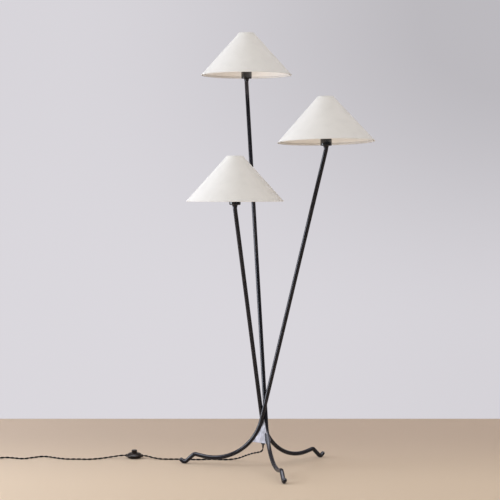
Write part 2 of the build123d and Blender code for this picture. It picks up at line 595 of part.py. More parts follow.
# ================================================================ plug, local +X along the blades
def make_plug_body():
    """Moulded plug body, flat where it lies, narrowing to the cord."""
    front = Plane(origin=(PLUG_LENGTH, 0, PLUG_THICK / 2), x_dir=(0, 1, 0), z_dir=(1, 0, 0))
    block = RectangleRounded(PLUG_WIDTH, PLUG_THICK, PLUG_ROUND)
    tail = RectangleRounded(PLUG_TAIL, PLUG_TAIL, PLUG_ROUND)
    body = loft([front.offset(-PLUG_LENGTH) * tail, front.offset(-PLUG_LENGTH * 0.45) * block])
    body += loft([front.offset(-PLUG_LENGTH * 0.45) * block, front * block])
    for side in (-1, 1):
        body -= Pos(PLUG_LENGTH, side * BLADE_SPACING / 2, PLUG_THICK / 2) * Box(
            2 * BLADE_ROOT + 2 * SEAT, BLADE_THICK + 2 * FIT, BLADE_WIDTH + 2 * FIT
        )
    return body


def make_plug_blades():
    """Two flat blades with holes near their tips."""
    blade = Box(BLADE_LENGTH + BLADE_ROOT, BLADE_THICK, BLADE_WIDTH)
    blade = chamfer(blade.edges().filter_by(Axis.Y).group_by(Axis.X)[-1], BLADE_WIDTH / 5)
    blade -= Pos(BLADE_LENGTH / 2, 0, 0) * (Rot(90, 0, 0) * Cylinder(BLADE_HOLE / 2, BLADE_WIDTH))
    middle_x = PLUG_LENGTH + (BLADE_LENGTH - BLADE_ROOT) / 2
    return together(*[Pos(middle_x, side * BLADE_SPACING / 2, PLUG_THICK / 2) * blade for side in (-1, 1)])


# ================================================================ cord
def cord_bends(points):
    """The radius of each corner: as large as its two runs allow."""
    radii = []
    for before, corner, after in zip(points, points[1:], points[2:]):
        runs = corner - before, after - corner
        turn = radians(runs[0].get_angle(runs[1]))
        radii.append(0.45 * min(run.length for run in runs) / tan(turn / 2))
    return radii


def make_cord(name, points):
    """A free stretch of cord: straight runs joined by tangent arcs."""
    points = [Vector(*p) for p in points]
    radii = cord_bends(points)
    path = FilletPolyline(*points, radius=radii)
    tube = round_bar(path, CORD_R)
    print(f"{name}: length {path.length:.0f}, radii {[round(r) for r in radii]},"
          f" volume ratio {tube.volume / (pi * CORD_R**2 * path.length):.4f}")
    return tube


def coil_points():
    """Where the put-away coil's half turns meet: in along the lower layer, up, and out along the upper."""
    inward, outward = COIL_HALF_TURNS
    step = COIL_PITCH / 2
    lower = [COIL_OUTER - step * k for k in range(inward + 1)]
    upper = [lower[-1] + step * k for k in range(outward + 1)]
    lower[-1] -= COIL_TUCK
    upper[0] -= COIL_TUCK
    heights = [COIL_LOW] * (inward + 1) + [COIL_LOW + COIL_PITCH] * (outward + 1)
    return [Vector(r * (-1) ** k, 0, z) for k, (r, z) in enumerate(zip(lower + upper, heights))]


def place_coil(piece):
    """The coil's local X is turned to the side where the cord arrives."""
    return Pos(*COIL_AT, 0) * Rot(0, 0, 90) * piece


def make_cord_coil():
    """The put-away length: one unbroken tube in two layers."""
    path = half_turns(coil_points())
    coil = round_bar(path, CORD_R)
    count = 60 * len(path.edges())
    beads = [path @ (k / count) for k in range(count + 1)]
    apart = int(2 * CORD_OD / (path.length / count))
    least = min((a - b).length for i, a in enumerate(beads) for b in beads[i + apart:])
    print(f"cord_coil: length {path.length:.0f}, least gap {least - CORD_OD:.2f}")
    return place_coil(coil)


def make_cord_tie():
    """Band round the coil's bundle, on the side away from where the cord arrives."""
    turns = coil_points()[1::2]
    inner = min(abs(p.X) for p in turns) - CORD_R - TIE_SLACK
    outer = max(abs(p.X) for p in turns) + CORD_R + TIE_SLACK
    low, high = COIL_LOW - CORD_R - COIL_GAP, COIL_LOW + COIL_PITCH + CORD_R + COIL_GAP
    hole = Pos(-(inner + outer) / 2, (low + high) / 2) * RectangleRounded(outer - inner, high - low, 2)
    band = extrude(Plane.XZ * (offset(hole, TIE_THICK) - hole), TIE_WIDTH / 2, both=True)
    return place_coil(band)


def along_switch(distance):
    """A point on the line of the cord's ports, measured from the switch's middle."""
    travel = polar(SWITCH_TURN, distance)
    return (SWITCH_AT[0] + travel.X, SWITCH_AT[1] + travel.Y, SWITCH_EQUATOR)


PORT = SWITCH_OD / 2 + SWITCH_PORT_LENGTH
FLOOR = CORD_R
COIL_START = (COIL_AT[0], COIL_AT[1] + abs(coil_points()[0].X), COIL_LOW)
COIL_END = (COIL_AT[0], COIL_AT[1] + abs(coil_points()[-1].X), COIL_LOW + COIL_PITCH)
PLUG_AT = (COIL_AT[0] + PLUG_FROM_COIL[0], COIL_AT[1] + PLUG_FROM_COIL[1])

ROUTE_TO_SWITCH = [
    (0, 0, BUSHING_LOW), (0, 0, 72), (-4.5, 6.3, 60.5), (-17, 24, 53), (-36, 51, 45.5), (-64, 90, 30),
    (-90, 128, 12.5), (-118, 151, FLOOR), (-154, 146, FLOOR), (-196, 159, FLOOR), (-242, 147, FLOOR),
    (-290, 150, FLOOR), (-338, 158, FLOOR), (-382, 154, FLOOR), (-420, 171, 5.5), along_switch(-PORT - 16),
    along_switch(-PORT),
]
ROUTE_TO_COIL = [
    along_switch(PORT), along_switch(PORT + 16), (-576, 192, 6.5), (-618, 173, FLOOR), (-662, 151, FLOOR),
    (-708, 159, FLOOR), (-754, 156, FLOOR), (-800, 188, FLOOR), (-846, 222, FLOOR), (-884, 190, FLOOR),
    (-918, 160, FLOOR), (-956, 184, FLOOR), (-992, 196, FLOOR), (-1022, 170, FLOOR + 0.5),
    (COIL_START[0] + 28, COIL_START[1], COIL_LOW), COIL_START,
]
ROUTE_TO_PLUG = [
    COIL_END, (COIL_END[0] - 20, COIL_END[1], COIL_END[2]), (COIL_END[0] - 43.4, COIL_END[1] - 13.5, 8.6),
    (PLUG_AT[0], PLUG_AT[1] + 21.7, PLUG_THICK / 2), (PLUG_AT[0], PLUG_AT[1], PLUG_THICK / 2),
]


# ================================================================ the whole lamp
def make_light(name):
    """All nodes of one light, about the hub axis."""
    azimuth, lean, rim_z, tilt, tilt_azimuth = LIGHTS[name]
    ferrule_z = rim_z - CUP_BELOW_RIM - FERRULE_HEIGHT
    neck = stem_corners(lean, ferrule_z)[4]
    axis = stem_plane(azimuth).from_local_coords(Vector(neck.X, 0))
    head = Pos(axis.X, axis.Y, rim_z)
    hinge = Axis((axis.X, axis.Y, rim_z + CUP_TOP), polar(tilt_azimuth + 90, 1))
    upright = {
        "ferrule": make_ferrule(), "socket_cup": make_cup(), "lampholder": make_holder(),
        "screw_shell": make_screw_shell(), "centre_contact": make_centre_contact(), "bulb_cap": make_bulb_cap(),
        "bulb_glass": make_bulb_glass(), "clamp_ring": make_clamp_ring(tilt),
    }
    tilted = {"shade_fitter": make_fitter(tilt), "shade": make_shade(), "rim_wire": make_rim_wire()}
    nodes = {f"{node}_{name}": head * piece for node, piece in upright.items()}
    for node, piece in tilted.items():
        nodes[f"{node}_{name}"] = (head * piece).rotate(hinge, tilt)
    nodes[f"stem_{name}"] = make_stem(azimuth, lean, ferrule_z)
    nodes[f"lead_{name}"] = make_lead(azimuth, lean, rim_z + HOLDER_RECESS)
    return nodes


def make_hub():
    """The three plates, the floor and what is inside."""
    bars = stem_bars()
    tail = Pos(0, 0, BUSHING_LOW) * Cylinder(
        CORD_R, CONNECTOR_BASE - BUSHING_LOW, align=(Align.CENTER, Align.CENTER, Align.MIN)
    )
    return {
        "hub_plate_left": make_hub_plate("middle", "upper", bars),
        "hub_plate_right": make_hub_plate("upper", "lower", bars),
        "hub_plate_back": make_hub_plate("lower", "middle", bars),
        "hub_floor": make_hub_floor(bars),
        "cord_bushing": make_cord_bushing(),
        "wire_connector": make_wire_connector(),
        "cord_tail": tail,
    }


def make_cord_set():
    """The free cord and everything on it."""
    at_switch = Pos(*SWITCH_AT, 0) * Rot(0, 0, SWITCH_TURN)
    at_plug = Pos(*PLUG_AT, 0) * Rot(0, 0, -90)
    return {
        "switch_base": at_switch * make_switch_base(),
        "switch_cover": at_switch * make_switch_cover(),
        "switch_button": at_switch * make_switch_button(),
        "switch_spring": at_switch * make_switch_spring(),
        "switch_contacts": at_switch * make_switch_contacts(),
        "switch_screws": at_switch * make_switch_screws(),
        "plug_body": at_plug * make_plug_body(),
        "plug_blades": at_plug * make_plug_blades(),
        "cord_to_switch": make_cord("cord_to_switch", ROUTE_TO_SWITCH),
        "cord_to_coil": make_cord("cord_to_coil", ROUTE_TO_COIL),
        "cord_coil": make_cord_coil(),
        "cord_to_plug": make_cord("cord_to_plug", ROUTE_TO_PLUG),
        "cord_tie": make_cord_tie(),
    }


def main():
    lamp = make_hub()
    for name in LIGHTS:
        lamp |= make_light(name)
    boxes = [piece.bounding_box() for piece in lamp.values()]
    middle = Vector(
        (min(b.min.X for b in boxes) + max(b.max.X for b in boxes)) / 2,
        (min(b.min.Y for b in boxes) + max(b.max.Y for b in boxes)) / 2,
    )
    lamp |= make_cord_set()
    os.makedirs("parts", exist_ok=True)
    for name, piece in lamp.items():
        export_step(Pos(-middle.X, -middle.Y, 0) * piece, f"parts/{name}.step")
    print(f"hub axis at {-middle.X:.3f}, {-middle.Y:.3f}")
    for name, (azimuth, lean, rim_z, *_) in LIGHTS.items():
        foot = polar(azimuth, FOOT_REACH) + polar(azimuth + 90, STEM_OFFSET) - middle
        neck = stem_corners(lean, rim_z - CUP_BELOW_RIM - FERRULE_HEIGHT)[4]
        axis = stem_plane(azimuth).from_local_coords(Vector(neck.X, 0)) - middle
        print(f"{name}: foot {foot.X:.2f}, {foot.Y:.2f}; light axis {axis.X:.2f}, {axis.Y:.2f}")


main()
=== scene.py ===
"""Dresses a floor lamp of three lights: card shades, painted steel, twisted cloth cord, foot switch."""
import json
from math import cos, pi, radians, sin, sqrt
from random import Random

import bmesh
import bpy
from bpy.props import FloatProperty, FloatVectorProperty, IntProperty, PointerProperty
from mathutils import Matrix, Vector
from mathutils.bvhtree import BVHTree


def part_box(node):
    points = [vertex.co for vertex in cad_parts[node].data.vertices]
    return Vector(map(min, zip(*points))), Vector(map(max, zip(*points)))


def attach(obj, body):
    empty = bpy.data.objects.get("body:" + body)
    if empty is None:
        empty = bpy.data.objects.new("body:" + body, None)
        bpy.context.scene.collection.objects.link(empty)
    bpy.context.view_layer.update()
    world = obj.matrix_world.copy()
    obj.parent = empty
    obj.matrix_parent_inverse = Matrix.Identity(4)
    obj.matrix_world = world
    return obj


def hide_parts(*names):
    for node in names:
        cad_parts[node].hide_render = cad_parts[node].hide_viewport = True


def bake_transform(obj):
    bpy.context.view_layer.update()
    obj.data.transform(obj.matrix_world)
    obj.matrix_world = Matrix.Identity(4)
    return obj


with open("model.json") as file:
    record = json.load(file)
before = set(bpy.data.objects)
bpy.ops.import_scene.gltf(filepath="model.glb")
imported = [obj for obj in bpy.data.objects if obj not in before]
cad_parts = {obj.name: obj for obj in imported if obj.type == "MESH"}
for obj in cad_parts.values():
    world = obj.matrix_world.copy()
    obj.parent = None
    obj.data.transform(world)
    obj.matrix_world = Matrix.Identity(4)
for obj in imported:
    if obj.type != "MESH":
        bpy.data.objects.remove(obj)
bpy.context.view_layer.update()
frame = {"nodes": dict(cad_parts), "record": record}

bl_info = {
    "name": "Tree Floor Lamp",
    "version": (1, 0, 0),
    "blender": (4, 5, 0),
    "location": "3D View > Sidebar > Floor Lamp",
    "description": "Card shades, painted steel, twisted cord and stage of a floor lamp of three lights",
    "category": "Object",
}

MM = 0.001
LIGHTS = ("upper", "middle", "lower")
PLATES = ("left", "right", "back")
NODES = frame["nodes"]


def centre(node):
    """Middle of a CAD node's box."""
    low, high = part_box(node)
    return (Vector(low) + Vector(high)) / 2


HUB = Vector((*centre("cord_bushing").xy, 0))           # on the floor under the hub
SHADE_TILT = {"middle": (radians(2.4), radians(117))}   # how far a shade leans, and towards which azimuth
CUP_BELOW_RIM = 14 * MM                                 # from a shade's rim down to its cup's foot
CUP_HEIGHT = 42 * MM                                    # a leaning shade turns about its cup's top


def light_place(name):
    """From a light's own coordinates, with z = 0 in its shade's rim, to the lamp's."""
    low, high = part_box(f"socket_cup_{name}")
    foot = Vector(((low[0] + high[0]) / 2, (low[1] + high[1]) / 2, low[2] + CUP_BELOW_RIM))
    place = Matrix.Translation(foot)
    if name in SHADE_TILT:
        lean, azimuth = SHADE_TILT[name]
        hinge = Matrix.Translation((0, 0, CUP_HEIGHT - CUP_BELOW_RIM))
        axis = Vector((-sin(azimuth), cos(azimuth), 0))
        place = place @ hinge @ Matrix.Rotation(lean, 4, axis) @ hinge.inverted()
    return place


# ---------------------------------------------------------------- finishes
class Value:
    """A number that varies over a surface; sums on it add Math nodes."""

    def __init__(self, finish, socket):
        self.finish, self.socket = finish, socket

    def _sum(self, operation, other):
        return self.finish.math(operation, self, other)

    def __add__(self, other):
        return self._sum("ADD", other)

    def __sub__(self, other):
        return self._sum("SUBTRACT", other)

    def __rsub__(self, other):
        return self.finish.math("SUBTRACT", other, self)

    def __mul__(self, other):
        return self._sum("MULTIPLY", other)

    __radd__ = __add__
    __rmul__ = __mul__

    def above(self, low, high):
        """0 below low, 1 above high, smooth between."""
        return self.finish.value(
            "ShaderNodeMapRange", {"interpolation_type": "SMOOTHSTEP", "clamp": True},
            {"Value": self, "From Min": low, "From Max": high}, "Result",
        )


class Finish:
    """One material: a Principled shader and what varies over it."""

    def __init__(self, name, colour, roughness, metallic=0.0, **shader):
        self.material = bpy.data.materials.new(name)
        self.material.use_nodes = True
        self.tree = self.material.node_tree
        self.shader = self.tree.nodes["Principled BSDF"]
        self.material.diffuse_color = (*colour, 1)
        plain = {"Base Color": (*colour, 1), "Roughness": roughness, "Metallic": metallic}
        for key, value in shader.items():
            plain[key.replace("_", " ").title().replace("Ior", "IOR")] = value
        self.fill(self.shader, plain)
        self.place = self.node("ShaderNodeTexCoord").outputs["Object"]
        self.normal = None

    def fill(self, node, values):
        """Sets or links a node's inputs by name."""
        for key, value in values.items():
            if isinstance(value, Value):
                value = value.socket
            if isinstance(value, bpy.types.NodeSocket):
                self.tree.links.new(value, node.inputs[key])
            else:
                node.inputs[key].default_value = value

    def node(self, kind, settings=None, values=None):
        """Adds a node, with its settings first and then the values or links of its inputs."""
        node = self.tree.nodes.new(kind)
        for key, value in (settings or {}).items():
            setattr(node, key, value)
        self.fill(node, values or {})
        return node

    def value(self, kind, settings, values, output):
        """One output of a new node, ready for sums."""
        return Value(self, self.node(kind, settings, values).outputs[output])

    def math(self, operation, *numbers):
        """A Math node's result."""
        return self.value("ShaderNodeMath", {"operation": operation}, dict(enumerate(numbers)), 0)

    def stretched(self, scale):
        """The surface's place with each axis scaled."""
        values = {"Vector": self.place, "Scale": scale}
        return self.node("ShaderNodeMapping", None, values).outputs["Vector"]

    def noise(self, scale, detail, place=None):
        """Cloudy noise from about 0.3 to 0.7; scale is in lumps a metre."""
        source = self.place if place is None else place
        values = {"Vector": source, "Scale": scale, "Detail": detail}
        return self.value("ShaderNodeTexNoise", None, values, "Fac")

    def cells(self, scale):
        """Distance to the nearest of scattered points, 0 at a point; scale is in points a metre."""
        values = {"Vector": self.place, "Scale": scale}
        return self.value("ShaderNodeTexVoronoi", {"feature": "SMOOTH_F1"}, values, "Distance")

    def axis(self, name):
        """The surface's place along one axis, in metres."""
        return self.value("ShaderNodeSeparateXYZ", None, {"Vector": self.place}, name)

    def mixed(self, factor, first, second):
        """A shader between two shader nodes."""
        mix = self.node("ShaderNodeMixShader", None, {"Fac": factor})
        self.tree.links.new(first.outputs[0], mix.inputs[1])
        self.tree.links.new(second.outputs[0], mix.inputs[2])
        return mix

    def between(self, first, second, mask):
        """A colour between two colours."""
        node = self.node("ShaderNodeMix", {"data_type": "RGBA"})
        for index, colour in ((6, first), (7, second)):
            if isinstance(colour, bpy.types.NodeSocket):
                self.tree.links.new(colour, node.inputs[index])
            else:
                node.inputs[index].default_value = (*colour, 1)
        self.tree.links.new(mask.socket, node.inputs[0])
        return node.outputs[2]

    def colour(self, socket):
        self.fill(self.shader, {"Base Color": socket})
        return self

    def roughness(self, value):
        self.fill(self.shader, {"Roughness": value})
        return self

    def relief(self, height, distance, strength):
        """Raises the surface by a height of 0 to 1 times a distance in metres, over any relief before it."""
        values = {"Height": height, "Distance": distance, "Strength": strength}
        if self.normal is not None:
            values["Normal"] = self.normal
        self.normal = self.node("ShaderNodeBump", None, values).outputs["Normal"]
        self.fill(self.shader, {"Normal": self.normal})
        return self


def tinted(colour, share):
    """A colour with every channel times a share, 1 at most."""
    return tuple(min(1, share * c) for c in colour)


def lacquer(name, colour, lift):
    """Satin charcoal lacquer on hand-bent tube: slow waves of the hammer and a fine orange peel."""
    finish = Finish(name, colour, 0.3, specular_ior_level=0.28, coat_weight=0.75, coat_roughness=0.1)
    finish.fill(finish.shader, {"Specular Tint": (0.92, 0.9, 1.0, 1), "Coat Tint": (0.95, 0.94, 1.0, 1)})
    cloud, peel = finish.noise(38, 2), finish.noise(900, 2)
    wave = finish.noise(46, 1, finish.stretched((1, 1, 0.45)))
    finish.colour(finish.between(colour, lift, cloud.above(0.35, 0.72)))
    finish.roughness(0.17 + 0.14 * finish.noise(120, 4))
    finish.relief(wave, 1.6 * MM, 0.2)
    return finish.relief(peel, 0.06 * MM, 0.3)


def enamel(name, colour):
    """Smooth stoved enamel."""
    finish = Finish(name, colour, 0.2, specular_ior_level=0.5, coat_weight=1.0, coat_roughness=0.05)
    smear = finish.noise(55, 4)
    finish.roughness(0.08 + 0.12 * smear)
    return finish.relief(finish.noise(500, 2), 0.04 * MM, 0.4)


def hammered_plate(name, colour, dark, light):
    """Grey hammered steel plate with upright streaks."""
    finish = Finish(name, colour, 0.45, metallic=0.25)
    dents = finish.cells(150)
    streak = finish.noise(110, 3, finish.stretched((1, 1, 0.22)))
    patch = finish.noise(34, 3)
    mottled = finish.between(dark, light, streak.above(0.34, 0.66) * 0.6 + patch.above(0.3, 0.7) * 0.4)
    finish.colour(mottled)
    finish.roughness(0.34 + 0.3 * finish.noise(260, 3))
    finish.relief(dents, 1.1 * MM, 0.7)
    return finish.relief(finish.noise(900, 2), 0.08 * MM, 0.5)


def card(name, colour, shade, grain=1.0):
    """Laminated shade card: a faint cloudiness and short fibres."""
    finish = Finish(name, colour, 0.82, specular_ior_level=0.3)
    cloud, fibre = finish.noise(26, 4), finish.noise(420, 3, finish.stretched((1, 1, 0.35)))
    finish.colour(finish.between(shade, colour, cloud.above(0.2, 0.62) * 0.7 + fibre.above(0.3, 0.7) * 0.3))
    finish.roughness(0.74 + 0.14 * fibre)
    return finish.relief(fibre, 0.10 * MM * grain, 0.5)


def moulding(name, colour, roughness, grain=0.05, **shader):
    """Moulded plastic with a fine spark-eroded grain."""
    finish = Finish(name, colour, roughness, **shader)
    fine = finish.noise(1500, 2)
    lift = tuple(1.5 * c + 0.004 for c in colour)
    finish.colour(finish.between(colour, lift, finish.noise(90, 4).above(0.35, 0.75)))
    finish.roughness(roughness - 0.06 + 0.14 * finish.noise(220, 3))
    return finish.relief(fine, grain * MM, 0.5)


def metal(name, colour, roughness):
    """Bare metal, drawn or turned, with a fine scratched grain."""
    finish = Finish(name, colour, roughness, metallic=1.0)
    scratch, stain = finish.noise(1400, 3), finish.noise(160, 3)
    finish.colour(finish.between(tinted(colour, 0.8), colour, stain.above(0.3, 0.6)))
    finish.roughness(roughness - 0.07 + 0.18 * scratch)
    return finish.relief(scratch, 0.02 * MM, 0.4)


def opal(name, colour):
    """Opal white glass of the bulbs."""
    finish = Finish(name, colour, 0.22, coat_weight=0.5, coat_roughness=0.08)
    haze = finish.noise(70, 3)
    finish.colour(finish.between(tinted(colour, 0.97), colour, haze.above(0.3, 0.7)))
    return finish.roughness(0.18 + 0.12 * haze)


def braided_cloth(name, colour, fleck):
    """Braided cotton, laid by a strand's own UV map: u round the strand, v along it in metres."""
    finish = Finish(name, colour, 0.88, specular_ior_level=0.25, sheen_weight=0.04, sheen_roughness=0.5)
    finish.fill(finish.shader, {"Sheen Tint": (0.5, 0.52, 0.6, 1)})
    uv = finish.node("ShaderNodeUVMap").outputs["UV"]
    split = finish.node("ShaderNodeSeparateXYZ", None, {"Vector": uv})
    round_it, along = Value(finish, split.outputs["X"]), Value(finish, split.outputs["Y"])
    yarns, rows = 7, 1 / (2.6 * MM)                     # round the strand, and a metre along it
    left = finish.math("SINE", (round_it * yarns + along * rows) * (2 * pi))
    right = finish.math("SINE", (round_it * yarns - along * rows) * (2 * pi))
    yarn, fluff = finish.math("MAXIMUM", left, right), finish.noise(700, 2)
    finish.colour(finish.between(colour, fleck, yarn.above(0.2, 1.0) * fluff.above(0.3, 0.8)))
    finish.roughness(0.8 + 0.15 * finish.noise(600, 2))
    return finish.relief(yarn, 0.25 * MM, 0.8)


FINISHES = {}


def make_finishes(colours):
    """Every material, by the record's slot, and the linings and tapes of the shades."""
    stem, cup, plate, shade, lining, switch = (
        tuple(getattr(colours, name)) for name in ("stem", "cup", "hub_plate", "shade", "lining", "switch")
    )
    FINISHES.update({
        "stem_black": lacquer("charcoal_lacquer", stem, tinted(stem, 1.7)),
        "socket_black": enamel("black_enamel", cup),
        "hub_grey": hammered_plate("hammered_grey", plate, tinted(plate, 0.58), tinted(plate, 1.3)),
        "shade_paper": card("shade_card", shade, tinted(shade, 0.94)),
        "shade_lining": card("shade_lining", lining, tinted(lining, 0.93)),
        "shade_tape": card("shade_tape", tinted(shade, 0.98), tinted(shade, 0.9), grain=2.0),
        "wire_steel": metal("plated_wire", (0.58, 0.58, 0.59), 0.32),
        "holder_black": moulding("black_thermoset", (0.02, 0.019, 0.018), 0.3, 0.02),
        "brass": metal("stamped_brass", (0.72, 0.52, 0.24), 0.3),
        "cap_metal": metal("rolled_aluminium", (0.76, 0.76, 0.77), 0.34),
        "bulb_opal": opal("opal_glass", (0.92, 0.92, 0.89)),
        "plastic_black": moulding("black_plastic", (0.02, 0.02, 0.021), 0.48),
        "lead_sleeve": moulding("lead_sleeve", (0.74, 0.74, 0.71), 0.5),
        "cord_cloth": braided_cloth("braided_cloth", (0.005, 0.005, 0.006), (0.018, 0.018, 0.021)),
        "switch_brown": moulding("brown_black_moulding", switch, 0.3, 0.03,
                                 specular_ior_level=0.15, coat_weight=0.35, coat_roughness=0.06),
        "spring_steel": metal("spring_steel", (0.5, 0.5, 0.51), 0.34),
    })


def paint(piece, *names):
    """Gives a piece its finishes, in the order of its material slots."""
    piece.data.materials.clear()
    for name in names:
        piece.data.materials.append(FINISHES[name].material)
    return piece


# ---------------------------------------------------------------- modelling
def clear_selection():
    """Leaves edit mode with nothing selected."""
    if bpy.context.object and bpy.context.object.mode != "OBJECT":
        bpy.ops.object.mode_set(mode="OBJECT")
    bpy.ops.object.select_all(action="DESELECT")


def start(name):
    """Names the primitive that was just added and opens it for editing."""
    piece = bpy.context.object
    piece.name = piece.data.name = name
    bpy.ops.object.mode_set(mode="EDIT")
    return piece


def choose(piece, kind, wanted):
    """Selects the faces, edges or vertices for which wanted is true, in edit mode."""
    bpy.ops.mesh.select_mode(type={"faces": "FACE", "edges": "EDGE", "verts": "VERT"}[kind])
    bpy.ops.mesh.select_all(action="DESELECT")
    mesh = bmesh.from_edit_mesh(piece.data)
    for part in getattr(mesh, kind):
        if wanted(part):
            part.select_set(True)
    mesh.select_flush_mode()
    bmesh.update_edit_mesh(piece.data)


def place_mesh(piece, matrix):
    """Moves a piece's mesh, its object staying at the origin."""
    bpy.ops.object.mode_set(mode="OBJECT")
    piece.matrix_world = matrix
    bpy.ops.object.transform_apply(location=True, rotation=True, scale=True)
    return piece


def spun(name, profile, steps):
    """Turns a closed (radius, z) outline, in metres, into a solid of revolution, as on a lathe."""
    clear_selection()
    bpy.ops.mesh.primitive_plane_add(size=1 * MM, location=(0, 0, 0))
    piece = start(name)
    bpy.ops.mesh.merge(type="CENTER")
    corners = [Vector((r, 0, z)) for r, z in profile]
    bpy.ops.transform.translate(value=corners[0])
    for before, after in zip(corners, corners[1:]):
        bpy.ops.mesh.extrude_region_move(TRANSFORM_OT_translate={"value": after - before})
    bpy.ops.mesh.select_all(action="SELECT")
    bpy.ops.mesh.select_mode(type="VERT")
    mesh = bmesh.from_edit_mesh(piece.data)
    mesh.verts.ensure_lookup_table()
    mesh.edges.new((mesh.verts[-1], mesh.verts[0]))
    bmesh.update_edit_mesh(piece.data)
    bpy.ops.mesh.spin(steps=steps, angle=2 * pi, center=(0, 0, 0), axis=(0, 0, 1))
    bpy.ops.mesh.select_all(action="SELECT")
    bpy.ops.mesh.remove_doubles(threshold=0.002 * MM)
    bpy.ops.mesh.normals_make_consistent(inside=False)
    return piece


def smooth(piece, angle):
    """Shades a piece smooth but for edges sharper than an angle, in degrees."""
    clear_selection()
    piece.select_set(True)
    bpy.context.view_layer.objects.active = piece
    bpy.ops.object.shade_smooth_by_angle(angle=radians(angle))
    return piece


def spline_line(name, points):
    """A NURBS line with these control points, and the points along it."""
    curve = bpy.data.curves.new(name, "CURVE")
    curve.dimensions = "3D"
    spline = curve.splines.new("NURBS")
    spline.points.add(len(points) - 1)
    for point, place in zip(spline.points, points):
        point.co = (*place, 1)
    spline.order_u = 3
    spline.use_endpoint_u = True
    spline.resolution_u = 12
    line = bpy.data.objects.new(name, curve)
    bpy.context.scene.collection.objects.link(line)
    bpy.context.view_layer.update()
    mesh = bpy.data.meshes.new_from_object(line.evaluated_get(bpy.context.evaluated_depsgraph_get()))
    found = [v.co.copy() for v in mesh.vertices]
    bpy.data.objects.remove(line)
    bpy.data.curves.remove(curve)
    bpy.data.meshes.remove(mesh)
    return [p for p, q in zip(found, [None] + found) if q is None or (p - q).length > 1e-6]


def frames_along(line):
    """Tangent and a side direction at each point of a line, with no twist of its own."""
    ends = [line[0]] + line + [line[-1]]
    tangents = [(after - before).normalized() for before, after in zip(ends, ends[2:])]
    side = tangents[0].orthogonal().normalized()
    sides = []
    for tangent in tangents:
        side = (side - tangent * side.dot(tangent)).normalized()
        sides.append(side)
    return tangents, sides


def strand(mesh, layer, line, offset, radius, pitch, phase):
    """One strand that winds round a line, as a tube with closed ends and its own UV map."""
    sides = 10
    tangents, across = frames_along(line)
    rings, lengths, travelled = [], [], 0.0
    for index, (point, tangent, side) in enumerate(zip(line, tangents, across)):
        if index:
            travelled += (point - line[index - 1]).length
        lengths.append(travelled)
        turn = 2 * pi * travelled / pitch + phase
        other = tangent.cross(side)
        middle = point + offset * (side * cos(turn) + other * sin(turn))
        ring = []
        for step in range(sides):
            angle = turn + 2 * pi * step / sides
            ring.append(mesh.verts.new(middle + radius * (side * cos(angle) + other * sin(angle))))
        rings.append(ring)
    for index, (lower, upper) in enumerate(zip(rings, rings[1:])):
        for step in range(sides):
            after = (step + 1) % sides
            face = mesh.faces.new((lower[step], lower[after], upper[after], upper[step]))
            face.smooth = True
            corners = ((step, index), (step + 1, index), (step + 1, index + 1), (step, index + 1))
            for loop, (u, v) in zip(face.loops, corners):
                loop[layer].uv = (u / sides, lengths[v])
    mesh.faces.new(list(reversed(rings[0])))
    mesh.faces.new(rings[-1])


def twisted_cord(name, line, diameter, pitch):
    """Two cloth-covered strands twisted round a line, pressed together a little."""
    offset, radius = 0.236 * diameter, 0.264 * diameter
    mesh = bmesh.new()
    layer = mesh.loops.layers.uv.new("UVMap")
    for phase in (0, pi):
        strand(mesh, layer, line, offset, radius, pitch, phase)
    data = bpy.data.meshes.new(name)
    mesh.to_mesh(data)
    mesh.free()
    piece = bpy.data.objects.new(name, data)
    bpy.context.scene.collection.objects.link(piece)
    return piece


# ---------------------------------------------------------------- cord routes, millimetres about the hub
CORD = 6.5
FLOOR = CORD / 2                                  # height of a cord's middle where it lies on the floor
SWITCH = (-494.0, 193.0)
SWITCH_TURN = radians(174)                        # azimuth of the line through its ports
PORT = 33.5                                       # from the switch's middle to a port's mouth
PORT_HEIGHT = 10.5
PORT_LEAD = 16.0                                  # straight run before a port
COIL = (-1082.0, 124.0)
COIL_RADIUS = 42.6                                # of the outermost turn
COIL_STEP = 3.5                                   # between half turns, from one to the next
COIL_LOW = 4.75                                   # height of the lower layer
COIL_LAYER = 7.0                                  # from the lower layer up to the upper one
COIL_PINCH = 1.3                                  # the climb between the layers is drawn in by this
PLUG = (-1144.4, 102.0, 7.0)                      # the cord's end in the plug
PLUG_LEAD = 21.7                                  # straight run before the plug
TAIL_TOP = 107.0                                  # inside the hub, under the wire connector


def by_port(distance):
    """A point on the line through the switch's two cord ports."""
    return (SWITCH[0] + distance * cos(SWITCH_TURN), SWITCH[1] + distance * sin(SWITCH_TURN), PORT_HEIGHT)


TO_SWITCH = [
    (0, 0, TAIL_TOP), (0, 0, 72), (-4.5, 6.3, 60.5), (-17, 24, 53), (-36, 51, 45.5), (-64, 90, 30),
    (-90, 128, 12.5), (-118, 151, FLOOR), (-154, 146, FLOOR), (-196, 159, FLOOR), (-242, 147, FLOOR),
    (-290, 150, FLOOR), (-338, 158, FLOOR), (-382, 154, FLOOR), (-420, 171, 5.5),
    by_port(-PORT - PORT_LEAD), by_port(-PORT),
]
TO_COIL = [
    by_port(PORT), by_port(PORT + PORT_LEAD), (-576, 192, 6.5), (-618, 173, FLOOR), (-662, 151, FLOOR),
    (-708, 159, FLOOR), (-754, 156, FLOOR), (-800, 188, FLOOR), (-846, 222, FLOOR), (-884, 190, FLOOR),
    (-918, 160, FLOOR), (-956, 184, FLOOR), (-992, 196, FLOOR), (-1022, 170, FLOOR + 0.5),
    (COIL[0] + 28, COIL[1] + COIL_RADIUS, COIL_LOW),
]
TO_PLUG = [
    (COIL[0] - 20, COIL[1] + COIL_RADIUS + COIL_STEP, COIL_LOW + COIL_LAYER),
    (COIL[0] - 43.4, COIL[1] + 32.6, 8.6), (PLUG[0], PLUG[1] + PLUG_LEAD, PLUG[2]), PLUG,
]


